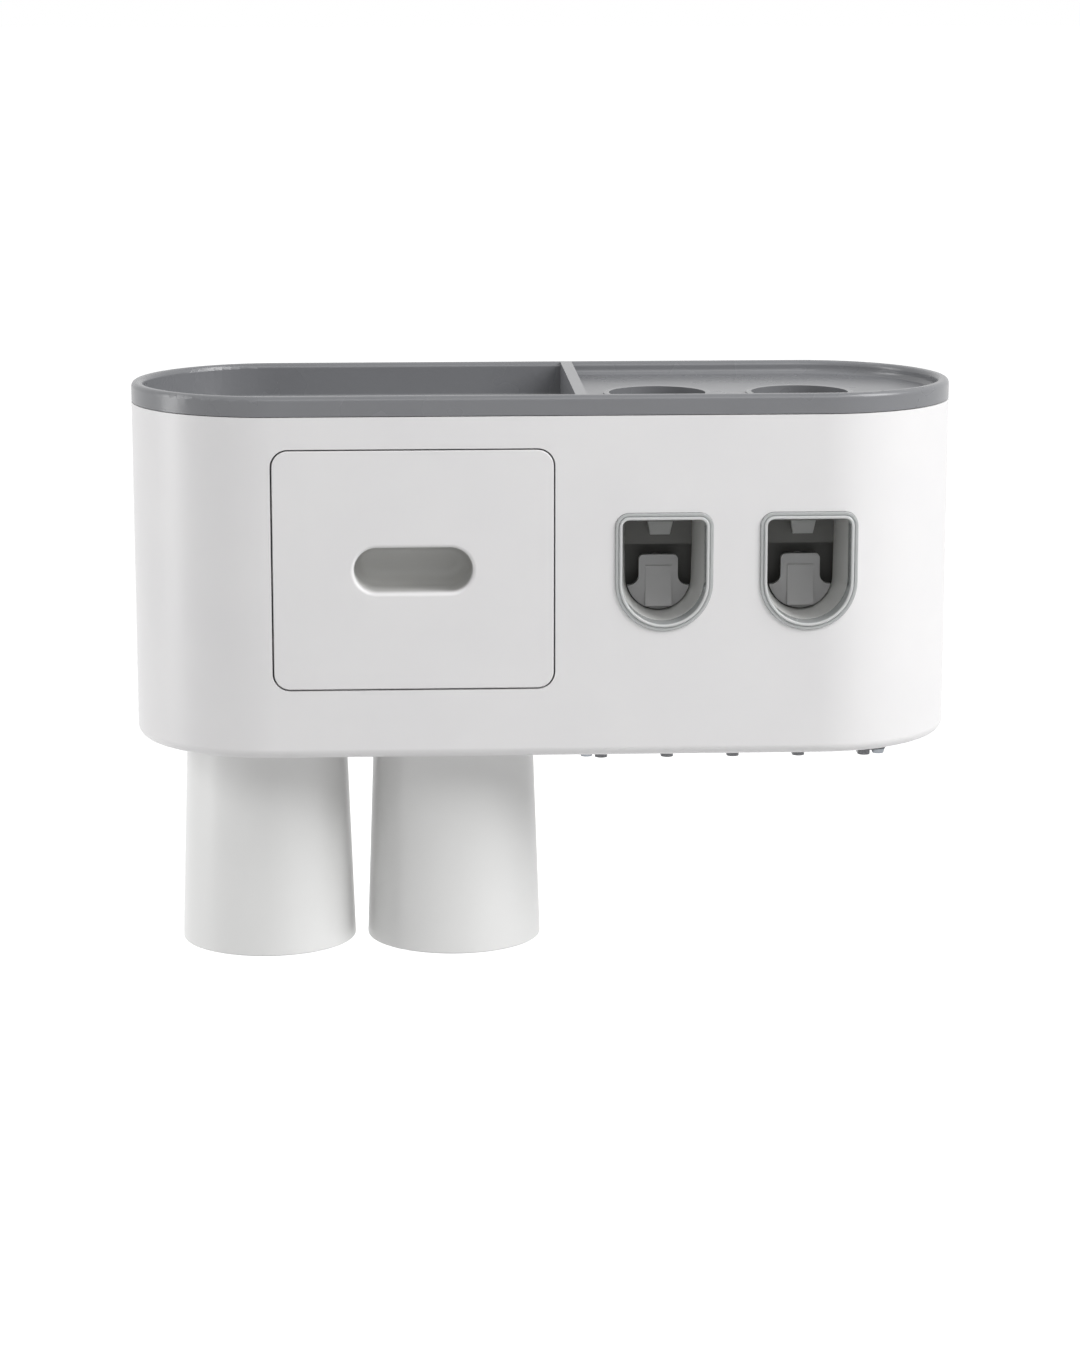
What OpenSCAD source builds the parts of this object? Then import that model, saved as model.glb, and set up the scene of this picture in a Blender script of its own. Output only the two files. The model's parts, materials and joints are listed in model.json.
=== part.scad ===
// Wall-hung bathroom organiser: two push-lever toothpaste dispensers, a drawer,
// a grey top tray, a toothbrush rack and two magnetic rinse cups.
// Row frame: the wall is the plane y = 0, the front faces -Y, +Z is up, and the origin is
// the centre of the wall plate's adhesive face.

/* [Body] */
// Overall length of the body
body_len = 325; // [325:1:380]
// Depth from the body's back to its front
body_depth = 112; // [112:1:130]
// Height of the white shell, up to the seam under the grey band
shell_h = 134; // [134:1:160]
// Thickness of the shell's walls
shell_wall = 2.5; // [2:0.1:3]
// Thickness of the shell's floor
shell_floor = 2.5; // [2:0.1:4]
// Radius of the rounded lower edge
lower_edge_r = 4; // [2:0.5:6]

/* [Wall plate] */
// Space between the wall and the body's back
wall_gap = 5; // [5:0.1:8]
// Height of the plate's centre above the body's underside
plate_height = 100; // [94:1:104]
// Width of the wall plate
plate_w = 230; // [200:1:240]
// Height of the wall plate
plate_h = 60; // [50:1:80]
// Thickness of the wall plate
plate_t = 3; // [2:0.1:3.5]
// Thickness of the adhesive pad
pad_t = 1; // [0.5:0.1:1.2]
// Corner radius of the plate and its pad
plate_corner_r = 6; // [2:0.5:12]
// Diameter of the wall screws' holes
wall_screw_d = 4.5; // [4:0.1:5.5]
// Diameter of the countersink for the wall screws' heads
wall_screw_head_d = 8; // [7:0.1:9]
// Distance between the wall screws along the wall
wall_screw_spacing_x = 180; // [150:1:190]
// Distance between the wall screws up the wall
wall_screw_spacing_z = 36; // [30:1:40]
// Width of each hanging hook
hook_w = 36; // [20:1:44]
// Distance between the two hooks
hook_spacing = 130; // [110:1:134]
// Height of a hook's arm
hook_arm_h = 4; // [3:0.5:5]
// Thickness of a hook's tongue
hook_tongue_t = 2.5; // [2:0.1:3]
// Height of a hook's tongue above its arm
hook_tongue_h = 10; // [8:0.5:11]
// How far the body is lifted to come off the hooks
lift_travel = 12; // [11:0.5:14]
// Diameter of the two rubber bumpers low on the back
bumper_d = 16; // [10:1:20]

/* [Top tray] */
// Height of the grey band round the top
band_h = 8; // [7:0.5:12]
// Width of the rounded rim, seen from above
rim_w = 4.6; // [4.4:0.1:8]
// Radius of the rim's rounded edges
rim_edge_r = 2; // [1:0.1:2]
// Rounding between the tray's floors and its outer wall
tray_fillet = 2.5; // [0.5:0.5:2.5]
// Height of the left compartment's floor above the shell's underside
left_floor_z = 127; // [127:0.5:133]
// Depth of the right compartment below the rim
right_depth = 5.5; // [4.5:0.5:7]
// Thickness of the tray's floors and walls
tray_t = 2; // [1.6:0.1:2.4]
// Thickness of the divider between the compartments
divider_t = 4.6; // [3:0.1:6]
// Distance from the drawer front's right edge to the divider
divider_offset = 8.4; // [7:0.1:10]
// Inside diameter of the collars that steady the tubes
collar_d = 38; // [34:0.5:40]
// Width of each collar's ring
collar_ring_w = 2.3; // [1.5:0.1:3]
// Height of each collar above the compartment's floor
collar_h = 1.5; // [1:0.1:3]
// How far each collar reaches below the compartment's floor
collar_drop = 4; // [2:0.5:6]

/* [Drawer] */
// Width of the drawer front
drawer_w = 108.5; // [100:0.5:110]
// Height of the drawer front
drawer_h = 93.3; // [80:0.1:94]
// Height of the drawer front's lower edge above the underside
drawer_z = 27.7; // [26:0.1:28]
// Corner radius of the drawer front
drawer_corner_r = 6.3; // [3:0.1:12]
// Thickness of the drawer front
drawer_front_t = 3; // [2.5:0.1:4]
// Length of the finger slot
pull_w = 46; // [36:1:60]
// Height of the finger slot
pull_h = 17.6; // [16:0.1:24]
// Depth of the pocket behind the finger slot, from the face
pull_depth = 22; // [12:1:30]
// Wall of that pocket
pull_wall = 1.5; // [1:0.1:2.5]
// How far the bin is narrower than the front
bin_inset = 7; // [6:0.1:12]
// Depth of the bin behind the front
bin_depth = 93; // [70:1:94]
// Height of the bin
bin_h = 82; // [50:1:84]
// Thickness of the bin's walls
bin_t = 2; // [1.5:0.1:3]
// Thickness of the frame that the bin runs in
frame_t = 2; // [2:0.1:2.4]
// How far the drawer opens
drawer_travel = 75; // [50:1:80]

/* [Dispensers] */
// Distance between the two windows
window_pitch = 56.3; // [50:0.1:57]
// How far the right window stands from the start of the round end
window_inset = 5.4; // [0:0.1:10]
// Width of the window's bezel
window_w = 38; // [36:0.5:40]
// Height of the window's bezel
window_h = 46.4; // [44:0.1:48]
// Height of the bezel's lowest point above the underside
window_z = 49.7; // [48.5:0.1:51]
// Corner radius at the top of the bezel
window_corner_r = 5.4; // [3.2:0.1:8]
// Width of the bezel's ring
bezel_w = 2.8; // [2.4:0.1:3]
// How far the bezel stands proud of the front
bezel_proud = 0.8; // [0.5:0.1:2]
// Height of the bezel's inner lip above its flange
bezel_lip_h = 0.6; // [0.3:0.1:1]
// Depth of the lever's face behind the front
lever_depth = 28; // [26:0.5:29]
// How much the duct narrows on each side on its way back
duct_taper = 3.1; // [2:0.1:3.2]
// Thickness of the duct's wall
duct_t = 1.5; // [1:0.1:1.6]
// Width of the lever's neck
neck_w = 15.5; // [12:0.5:18]
// Height of the lever's top above the bezel's lowest point
lever_top = 25.3; // [24:0.1:27]
// Thickness of the lever's plate
lever_t = 2.5; // [2:0.1:3]
// How far the lever swings, in degrees
lever_swing = 18; // [10:1:18]
// Diameter of the lever's pin
pin_d = 2.5; // [2:0.1:3]
// Diameter of the plunger's stem
stem_d = 8; // [6:0.1:9]
// Bore of the pump's chamber
chamber_d = 16; // [14:0.5:18]
// Depth of the tube's axis behind the front
tube_depth = 39; // [38:0.5:44]
// Bore of the sleeve that grips the tube's neck
tube_neck_d = 13; // [11:0.5:14]
// Depth of the nozzle behind the front
nozzle_depth = 22.5; // [20:0.5:22.5]
// Width of the nozzle's beak at its root
nozzle_w = 10.3; // [8:0.1:11]
// Width of the nozzle's beak at its tip
nozzle_tip_w = 7.9; // [5:0.1:8]
// Height of the nozzle's tip above the bezel's lowest point
nozzle_tip_z = 34.4; // [33:0.1:36]
// Diameter of the return spring's wire
spring_wire_d = 0.9; // [0.6:0.1:1.2]
// Number of turns of the return spring
spring_turns = 6; // [4:1:8]

/* [Toothbrush rack] */
// Distance between the rack's ribs
rib_pitch = 26.1; // [24:0.1:27]
// Number of toothbrush slots
slot_count = 4; // [2:1:4]
// Width of each rib
rib_w = 4.9; // [3:0.1:6]
// Height of the ribs below the rack's plate
rib_h = 2; // [1:0.5:6]
// Thickness of the rack's plate
rack_t = 2; // [1.6:0.1:3]
// How far the rack stands behind the front
rack_setback = 15; // [14:0.5:16]
// Depth of the rack from front to back
rack_depth = 60; // [56:1:62]
// Diameter of the hole that a brush head enters by
head_hole_d = 18; // [14:0.5:19]
// Width of the slot that holds a brush's neck
neck_slot_w = 7.5; // [6:0.5:9]

/* [Rinse cups] */
// Distance from the body's left end to the first cup's axis
cup_inset = 51.5; // [50:0.5:56]
// Distance between the two cups
cup_pitch = 75.2; // [74:0.1:80]
// Diameter of the cup's mouth
cup_mouth_d = 70.3; // [60:0.1:71]
// Diameter of the cup's base
cup_base_d = 64.1; // [56:0.1:65]
// Height of the cup
cup_h = 85.1; // [70:0.1:110]
// Thickness of the cup's wall
cup_t = 2; // [1.5:0.1:3]
// Thickness of the cup's base
cup_base_t = 3; // [3:0.1:4]
// Diameter of the magnets
magnet_d = 20; // [12:1:24]
// Thickness of the magnets
magnet_t = 2; // [1.5:0.1:2]

/* [Fits] */
// Gap between pieces that come apart, such as the tray and the shell
part_gap = 0.3; // [0.3:0.05:0.5]
// Gap between pieces that slide past each other
slide_gap = 0.5; // [0.4:0.05:0.6]
// Gap seen round the drawer front
drawer_gap = 0.6; // [0.5:0.05:0.8]
// Running clearance round pins, stem and seal, on the radius
run_gap = 0.05; // [0.03:0.01:0.08]
// Clearance round pieces that are clipped or pushed together
clip_gap = 0.1; // [0.05:0.05:0.15]
// Diameter of the assembly screws
screw_d = 3; // [2.5:0.1:3]
// Diameter of the assembly screws' heads
screw_head_d = 5.6; // [5:0.1:6]
// Length of the assembly screws' shanks
screw_len = 8; // [6:0.5:9]

/* [Hidden] */
$fn = 72;

// Colours
white = "#e6e5e6";
grey = "#7b7c7e";
lever_grey = "#8c8c8c";
dark = "#4a4a47";
silicone = "#8a8a8b";
rubber = "#55565a";
steel = "#b9bcc0";
clear = [0.86, 0.88, 0.9, 0.45];

// Small amount by which a cut runs past the face it opens
eps = 0.5;

// Outline of the body, in the body's frame: y = 0 at its back and z = 0 at its underside
end_r = body_depth / 2;
straight = body_len / 2 - end_r;
front_y = -body_depth;
inner_r = end_r - shell_wall;
inner_edge_r = max(lower_edge_r - shell_wall, 0.5);
total_h = shell_h + band_h;

// Drawer
drawer_x = -straight + drawer_w / 2;
drawer_right = -straight + drawer_w;
drawer_mid_z = drawer_z + drawer_h / 2;
bin_w = drawer_w - bin_inset;
bin_z = drawer_z + 1.2;
bin_y = front_y + drawer_front_t;
frame_headroom = 4;
frame_top_z = bin_z + bin_h + frame_headroom;
rail_h = 1.1;
rail_w = 3;
stop_w = 60;
stop_t = 2;
frame_floor_z = bin_z - slide_gap - rail_h;
frame_y = bin_y + slide_gap;
frame_depth = bin_depth + 3;
frame_window_len = 22;
frame_window_h = 48;
frame_post_inset_x = 8;
frame_post_inset_y = 8;

// Windows and dispensers: their depths are measured back from the front
window_x = [straight - window_inset - window_pitch, straight - window_inset];
window_r = window_w / 2;
window_mid_z = window_z + window_r;
window_top = window_h - window_r;
duct_r = window_r - bezel_w;
duct_top = window_top - bezel_w;
duct_rear_r = duct_r - duct_taper;
sleeve_t = bezel_w / 2;
sleeve_r = duct_r + sleeve_t;
ring_depth = 3;
// The right window reaches onto the round end, where the wall falls back by this much
mouth_r = sleeve_r + clip_gap + duct_t;
wall_back = end_r - sqrt(pow(inner_r, 2) - pow(max(0, window_x[1] + mouth_r - straight), 2));
mouth_y = wall_back + part_gap;
sleeve_len = mouth_y + 3;
duct_depth = lever_depth + 2;
duct_angle = atan(duct_taper / (duct_depth - sleeve_len));
duct_floor_z = window_mid_z - duct_r;

// Shelf and the posts that carry it
shelf_t = 2.5;
shelf_z = window_z - 2.2 - shelf_t;
shelf_top_z = shelf_z + shelf_t;
post_r = 4;
rack_mid_x = (window_x[0] + window_x[1]) / 2 + 1;
rack_margin = 9.3;
rack_w = slot_count * rib_pitch + 2 * rack_margin;
rack_front_y = front_y + rack_setback;
rack_back_y = rack_front_y + rack_depth;
rack_corner_r = 6;
post_inset = 3.5;
post_x = [rack_mid_x - rack_w / 2 + post_inset, rack_mid_x + rack_w / 2 - post_inset];
post_y = [rack_front_y + post_inset, rack_back_y - post_inset];

// Pump housing
housing_w = 34;
housing_y = duct_depth;
housing_len = 40;
housing_rear = housing_y + housing_len;
housing_h = 60.5;
housing_top_z = shelf_top_z + housing_h;
cavity_w = 30;
cavity_floor_z = duct_floor_z - 1.5;
cavity_top_z = window_z + lever_top + 4;
cavity_len = 11;
cavity_rear = lever_depth + cavity_len;
lever_r = duct_rear_r - slide_gap;
lever_mid_z = duct_floor_z + part_gap + 0.4 + lever_r;
lever_top_z = window_z + lever_top;
pivot_setback = 5;
pivot_y = lever_depth + pivot_setback;
pivot_rise = 6.3;
pivot_z = window_z + pivot_rise;
barrel_r = pin_d / 2 + 1.35;
barrel_w = 25;

// Plunger, with its round nose resting behind the lever
stem_r = stem_d / 2;
stem_rise = 14;
stem_z = pivot_z + stem_rise;
nose_y = lever_depth + lever_t + part_gap + stem_r;
plunger_arm = 14.8;
plunger_travel = plunger_arm * lever_swing * PI / 180;
chamber_r = chamber_d / 2;
chamber_y = cavity_rear + 5;
piston_r = chamber_r - 0.6;
piston_y = chamber_y + 2;
piston_t = 4;
seal_t = 2;
seal_groove = 1.2;
cap_t = 2.5;
cap_plug_len = 4;
cap_h = 24;
cap_screw_x = 13.5;
spring_start = piston_y + piston_t;
spring_end = housing_rear - cap_plug_len;
spring_mean_r = chamber_r - 3;

// Paste ways: in from the tube at the top, and out over the lever to the nozzle
nozzle_root_rise = 40.3;
nozzle_root_z = window_z + nozzle_root_rise;
nozzle_tip_height = window_z + nozzle_tip_z;
bridge_w = 18;
bridge_y = nozzle_depth - 5.5;
bridge_h = 10;
bridge_top_z = nozzle_root_z + bridge_h;
nozzle_block_w = 12;
nozzle_block_y = 7;
nozzle_block_h = 4;
plenum_h = 2;
outlet_r = 1.5;
outlet_x = -4.5;
outlet_z = nozzle_root_z + nozzle_block_h + 0.5;
inlet_x = 4;
inlet_port_y = tube_depth + 3;
port_y = spring_start + plunger_travel + outlet_r + 1.5;
inlet_way_z = outlet_z - 2.5;
inlet_floor_z = outlet_z + 3;
neck_r = tube_neck_d / 2;
inlet_sleeve_t = 2.5;
inlet_r = neck_r + inlet_sleeve_t;
inlet_flange_r = inlet_r + 2;
inlet_flange_t = 1.5;
squeezer_screw_x = 12;
squeezer_screw_y = 50;

// Hooks and their slots
hook_reach = wall_gap + shell_wall + slide_gap + hook_tongue_t;
plate_front = pad_t + plate_t;
slot_top_z = plate_height + hook_arm_h + part_gap;
slot_bottom_z = plate_height - lift_travel - slide_gap;
bumper_x = straight - bumper_d / 2 - 2;
bumper_z = 15;

// Tray
tray_z = shell_h + part_gap;
skirt_z = left_floor_z - tray_t;
skirt_r = inner_r - slide_gap;
tray_inner_r = end_r - rim_w;
right_floor_z = total_h - right_depth;
divider_x = drawer_right + divider_offset;
collar_r = collar_d / 2;
tube_y = front_y + tube_depth;

// Cups
cup_x = [-body_len / 2 + cup_inset, -body_len / 2 + cup_inset + cup_pitch];
cup_edge_r = 2;
magnet_r = magnet_d / 2;
magnet_cap_r = magnet_r + 3;
magnet_cap_t = 1.2;
magnet_ring_t = 2;

// Screws
screw_r = screw_d / 2;
screw_head_r = screw_head_d / 2;
screw_head_h = 1.8;
pilot_r = screw_r + run_gap;
pass_r = screw_r + 0.3;

// Places a piece given in the body's frame
module on_body()
{
    translate([0, -wall_gap, -plate_height])
        children();
}

// Places a piece of a dispenser, whose depth is measured back from the front
module at_window(i)
{
    on_body()
        translate([window_x[i], front_y, 0])
            children();
}

// Turns a drawn outline (x, z) into a slab from depth y0 to y1
module slab_xz(y0, y1)
{
    translate([0, y1, 0])
        rotate([90, 0, 0])
            linear_extrude(y1 - y0)
                children();
}

// Turns a drawn outline (y, z) into a bar centred on x = 0
module bar_yz(w)
{
    translate([-w / 2, 0, 0])
        rotate([90, 0, 90])
            linear_extrude(w)
                children();
}

// Round rod along y from depth y0 to y1
module rod_y(r, y0, y1)
{
    translate([0, y0, 0])
        rotate([-90, 0, 0])
            cylinder(r = r, h = y1 - y0);
}

// Rectangle with round corners, centred
module round_rect(w, h, r)
{
    square([w - 2 * r, h], center = true);
    square([w, h - 2 * r], center = true);
    for (x = [-1, 1], y = [-1, 1])
        translate([x * (w / 2 - r), y * (h / 2 - r)])
            circle(r);
}

// Outline that is flat on top and round below, with its origin at the round end's centre
module window_outline(r, top, corner)
{
    circle(r);
    translate([-r, 0])
        square([2 * r, top - corner]);
    translate([-r + corner, 0])
        square([2 * (r - corner), top]);
    for (side = [-1, 1])
        translate([side * (r - corner), top - corner])
            circle(corner);
}

// Half section of a stadium-shaped block: lower edge rounded by low, upper edge by high
module edge_section(r, h, low, high)
{
    square([r - max(low, high), h]);
    translate([0, low])
        square([r, h - low - high]);
    if (low > 0)
        translate([r - low, low])
            circle(low);
    if (high > 0)
        translate([r - high, h - high])
            circle(high);
    if (low < high)
        square([r - low, h - high]);
    if (high < low)
        translate([0, low])
            square([r - high, h - low]);
}

// Runs a half section round the body's stadium outline, from radius zero outwards
module round_stadium(half = straight)
{
    for (side = [0, 1])
        mirror([side, 0, 0])
            translate([half, 0, 0])
                rotate([0, 0, -90])
                    rotate_extrude(angle = 180)
                        children();
    translate([-half, 0, 0])
        rotate([90, 0, 90])
            linear_extrude(2 * half)
                for (side = [0, 1])
                    mirror([side, 0])
                        children();
}

// Stadium-shaped block in the body's plan, from z0 to z1
module body_block(r, z0, z1, low = 0, high = 0)
{
    translate([0, -end_r, z0])
        round_stadium()
            edge_section(r, z1 - z0, low, high);
}

// Narrowing passage of the window's outline: half a cone below and a wedge above, tilted so
// that its lowest line is level. grow widens it all round.
module funnel(grow, top_grow)
{
    slope = tan(duct_angle);
    start = -4;
    stop = duct_depth + 4;
    r0 = duct_r + grow - start * slope;
    r1 = duct_r + grow - stop * slope;
    translate([0, sleeve_len, window_mid_z])
        rotate([-90 - duct_angle, 0, 0])
        {
            rotate_extrude(angle = 180)
                polygon([[0, start], [r0, start], [r1, stop], [0, stop]]);
            rotate([90, 0, 0])
                linear_extrude(duct_top + top_grow)
                    polygon([[-r0, start], [r0, start], [r1, stop], [-r1, stop]]);
        }
}

// Pan-head screw pointing up, its head's seat at z = 0
module pan_screw(length = screw_len)
{
    cylinder(r = screw_r, h = length);
    difference()
    {
        translate([0, 0, -screw_head_h])
            cylinder(r1 = screw_head_r - 0.6, r2 = screw_head_r, h = screw_head_h);
        for (a = [0, 90])
            rotate([0, 0, a])
                cube([2.6, 0.7, 2 * screw_head_h], center = true);
        cylinder(r = screw_r, h = screw_head_h, center = true);
    }
}

module wall_plate()
{
    color(white)
        difference()
        {
            union()
            {
                slab_xz(-plate_front, -pad_t)
                    round_rect(plate_w, plate_h, plate_corner_r);
                for (side = [-1, 1])
                    translate([side * hook_spacing / 2 - hook_w / 2, -hook_reach, 0])
                    {
                        cube([hook_w, hook_reach - pad_t - plate_t / 2, hook_arm_h]);
                        cube([hook_w, hook_tongue_t, hook_arm_h + hook_tongue_h]);
                    }
            }
            for (x = [-1, 1], z = [-1, 1])
                translate([x * wall_screw_spacing_x / 2, 0, z * wall_screw_spacing_z / 2])
                {
                    rod_y(wall_screw_d / 2, -plate_front - eps, eps);
                    translate([0, -plate_front, 0])
                        rotate([-90, 0, 0])
                            cylinder(r1 = wall_screw_head_d / 2, r2 = wall_screw_d / 2,
                                     h = (wall_screw_head_d - wall_screw_d) / 2);
                }
        }
}

module adhesive_pad()
{
    color("#d8d8d4")
        difference()
        {
            slab_xz(-pad_t, 0)
                round_rect(plate_w - 4, plate_h - 4, plate_corner_r - 1);
            for (x = [-1, 1], z = [-1, 1])
                translate([x * wall_screw_spacing_x / 2, 0, z * wall_screw_spacing_z / 2])
                    rod_y(wall_screw_head_d / 2 + 1, -pad_t - eps, eps);
        }
}

module frame_posts(r, z0, z1)
{
    for (x = [-1, 1], y = [frame_y + frame_post_inset_y, frame_y + frame_depth - frame_post_inset_y])
        translate([drawer_x + x * (bin_w / 2 - frame_post_inset_x), y, z0])
            cylinder(r = r, h = z1 - z0);
}

module shelf_posts(r, z0, z1)
{
    for (x = post_x, y = post_y)
        translate([x, y, z0])
            cylinder(r = r, h = z1 - z0);
}

module outer_shell()
{
    frame_seat_z = frame_floor_z - frame_t;
    color(white)
        on_body()
            difference()
            {
                union()
                {
                    difference()
                    {
                        body_block(end_r, 0, shell_h, lower_edge_r);
                        body_block(inner_r, shell_floor, shell_h + eps, inner_edge_r);
                    }
                    frame_posts(post_r, shell_floor / 2, frame_seat_z);
                    shelf_posts(post_r, shell_floor / 2, shelf_z);
                    // rings that hold the magnets over the cups
                    for (x = cup_x)
                        translate([x, -end_r, shell_floor / 2])
                            difference()
                            {
                                cylinder(r = magnet_r + clip_gap + magnet_ring_t,
                                         h = shell_floor / 2 + magnet_t);
                                cylinder(r = magnet_r + clip_gap, h = shell_floor + magnet_t);
                            }
                }
                frame_posts(pilot_r, frame_seat_z - screw_len - 1, frame_seat_z + eps);
                shelf_posts(pilot_r, shelf_z - screw_len - 1, shelf_z + eps);
                shelf_posts(pilot_r, -eps, screw_len + 1);
                translate([drawer_x, 0, drawer_mid_z])
                    slab_xz(front_y - eps, front_y + shell_wall + eps)
                        round_rect(drawer_w + 2 * drawer_gap, drawer_h + 2 * drawer_gap,
                                   drawer_corner_r + drawer_gap);
                for (x = window_x)
                    translate([x, 0, window_mid_z])
                        slab_xz(front_y - eps, front_y + wall_back + eps)
                            window_outline(window_r + clip_gap, window_top + clip_gap,
                                           window_corner_r + clip_gap);
                for (side = [-1, 1])
                    translate([side * hook_spacing / 2 - hook_w / 2 - slide_gap,
                               -shell_wall - eps, slot_bottom_z])
                        cube([hook_w + 2 * slide_gap, shell_wall + 2 * eps,
                              slot_top_z - slot_bottom_z]);
                // way through the floor for the brush heads
                translate([rack_mid_x, (rack_front_y + rack_back_y) / 2, -eps])
                    linear_extrude(shell_floor + 2 * eps)
                        round_rect(rack_w - 4 * post_inset - 2, rack_depth - 4 * post_inset, 5);
            }
}

module wall_bumpers()
{
    color(rubber)
        on_body()
            for (side = [-1, 1])
                translate([side * bumper_x, 0, bumper_z])
                    rod_y(bumper_d / 2, 0, wall_gap);
}

module base_magnets()
{
    color(steel)
        on_body()
            for (x = cup_x)
                translate([x, -end_r, shell_floor])
                    cylinder(r = magnet_r, h = magnet_t);
}

module base_magnet_covers()
{
    color(white)
        on_body()
            for (x = cup_x)
                translate([x, -end_r, shell_floor + magnet_t])
                    cylinder(r = magnet_r + clip_gap + magnet_ring_t, h = magnet_cap_t);
}

module toothbrush_rack()
{
    hole_inset = 15;
    slot_inset = 13;
    hole_y = rack_front_y + hole_inset;
    slot_y = rack_back_y - slot_inset;
    color(grey)
        on_body()
        {
            difference()
            {
                translate([rack_mid_x, (rack_front_y + rack_back_y) / 2, -rack_t])
                    linear_extrude(rack_t)
                        round_rect(rack_w, rack_depth, rack_corner_r);
                for (i = [0 : slot_count - 1])
                    translate([rack_mid_x + (i - (slot_count - 1) / 2) * rib_pitch, 0, -rack_t - eps])
                    {
                        translate([0, hole_y, 0])
                            cylinder(r = head_hole_d / 2, h = rack_t + 2 * eps);
                        translate([-neck_slot_w / 2, hole_y, 0])
                            cube([neck_slot_w, slot_y - hole_y, rack_t + 2 * eps]);
                        translate([0, slot_y, 0])
                            cylinder(r = neck_slot_w / 2, h = rack_t + 2 * eps);
                    }
                shelf_posts(pass_r, -rack_t - eps, eps);
            }
            for (i = [0 : slot_count])
                translate([rack_mid_x + (i - slot_count / 2) * rib_pitch, 0, -rack_t - rib_h])
                    linear_extrude(rib_h)
                    {
                        translate([-rib_w / 2, rack_front_y + rib_w / 2])
                            square([rib_w, rack_depth - 8 - rib_w]);
                        translate([0, rack_front_y + rib_w / 2])
                            circle(rib_w / 2);
                        translate([0, rack_back_y - 8 - rib_w / 2])
                            circle(rib_w / 2);
                    }
        }
}

module rack_screws()
{
    color(steel)
        on_body()
            for (x = post_x, y = post_y)
                translate([x, y, -rack_t])
                    pan_screw();
}

module drawer_frame()
{
    wide = bin_w + 2 * slide_gap;
    seat_z = frame_floor_z - frame_t;
    color(white)
        on_body()
        {
            difference()
            {
                translate([drawer_x - wide / 2 - frame_t, frame_y, seat_z])
                    cube([wide + 2 * frame_t, frame_depth, frame_top_z - seat_z]);
                translate([drawer_x - wide / 2, frame_y - eps, frame_floor_z])
                    cube([wide, frame_depth + 2 * eps, frame_top_z]);
                frame_posts(pass_r, seat_z - eps, frame_floor_z + eps);
                // lightening windows in the side walls
                for (side = [-1, 1])
                    translate([drawer_x - wide, frame_y + frame_depth / 2 + side * frame_window_len
                               - frame_window_len / 2, frame_floor_z + bin_h / 2 - frame_window_h / 2])
                        cube([2 * wide, frame_window_len, frame_window_h]);
                // countersinks that keep the screw heads below the bin
                for (x = [-1, 1], y = [frame_y + frame_post_inset_y, frame_y + frame_depth - frame_post_inset_y])
                    translate([drawer_x + x * (bin_w / 2 - frame_post_inset_x), y, frame_floor_z - 1.3])
                        cylinder(r1 = pass_r, r2 = screw_head_r + 0.2, h = 1.3);
            }
            // rails that carry the bin
            for (side = [-1, 1])
                translate([drawer_x + side * (wide / 2 - rail_w / 2) - rail_w / 2, frame_y,
                           frame_floor_z - frame_t / 2])
                    cube([rail_w, frame_depth, frame_t / 2 + rail_h]);
            // ridge that stops the open drawer
            translate([drawer_x - stop_w / 2, bin_y + bin_depth - drawer_travel - 2 * stop_t - part_gap,
                       frame_floor_z - frame_t / 2])
                cube([stop_w, stop_t, frame_t / 2 + rail_h]);
        }
}

module frame_screws()
{
    color(steel)
        on_body()
            for (x = [-1, 1], y = [frame_y + frame_post_inset_y, frame_y + frame_depth - frame_post_inset_y])
                translate([drawer_x + x * (bin_w / 2 - frame_post_inset_x), y, 0])
                {
                    translate([0, 0, frame_floor_z - 1.3 - screw_len])
                        cylinder(r = screw_r, h = screw_len + 0.1);
                    difference()
                    {
                        translate([0, 0, frame_floor_z - 1.3])
                            cylinder(r1 = screw_r, r2 = screw_head_r, h = 1.25);
                        for (a = [0, 90])
                            rotate([0, 0, a])
                                translate([0, 0, frame_floor_z])
                                    cube([2.8, 0.7, 1.6], center = true);
                    }
                }
}

module bay_shelf()
{
    color(white)
        on_body()
            difference()
            {
                translate([rack_mid_x, (post_y[0] + post_y[1]) / 2, shelf_z])
                    linear_extrude(shelf_t)
                        round_rect(rack_w, rack_depth + 4, rack_corner_r);
                shelf_posts(pass_r, shelf_z - eps, shelf_top_z + eps);
                for (x = window_x, side = [-1, 1])
                    translate([x + side * squeezer_screw_x, front_y + squeezer_screw_y, shelf_z - eps])
                        cylinder(r = pass_r, h = shelf_t + 2 * eps);
            }
}

module shelf_screws()
{
    color(steel)
        on_body()
            for (x = post_x, y = post_y)
                translate([x, y, shelf_top_z])
                    mirror([0, 0, 1])
                        pan_screw();
}

module squeezer_screws()
{
    color(steel)
        on_body()
            for (x = window_x, side = [-1, 1])
                translate([x + side * squeezer_screw_x, front_y + squeezer_screw_y, shelf_z])
                    pan_screw();
}

module cap_screws()
{
    color(steel)
        for (i = [0, 1])
            at_window(i)
                for (side = [-1, 1])
                    translate([side * cap_screw_x, housing_rear + cap_t, stem_z])
                        rotate([90, 0, 0])
                            pan_screw();
}

module bezel(i)
{
    color(clear)
        at_window(i)
            translate([0, 0, window_mid_z])
                difference()
                {
                    union()
                    {
                        slab_xz(-bezel_proud, ring_depth)
                            window_outline(window_r, window_top, window_corner_r);
                        slab_xz(-bezel_proud - bezel_lip_h, sleeve_len)
                            window_outline(sleeve_r, duct_top + sleeve_t,
                                           window_corner_r - bezel_w + sleeve_t);
                    }
                    slab_xz(-bezel_proud - 2 * eps, sleeve_len + eps)
                        window_outline(duct_r, duct_top, window_corner_r - bezel_w);
                }
}

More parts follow.
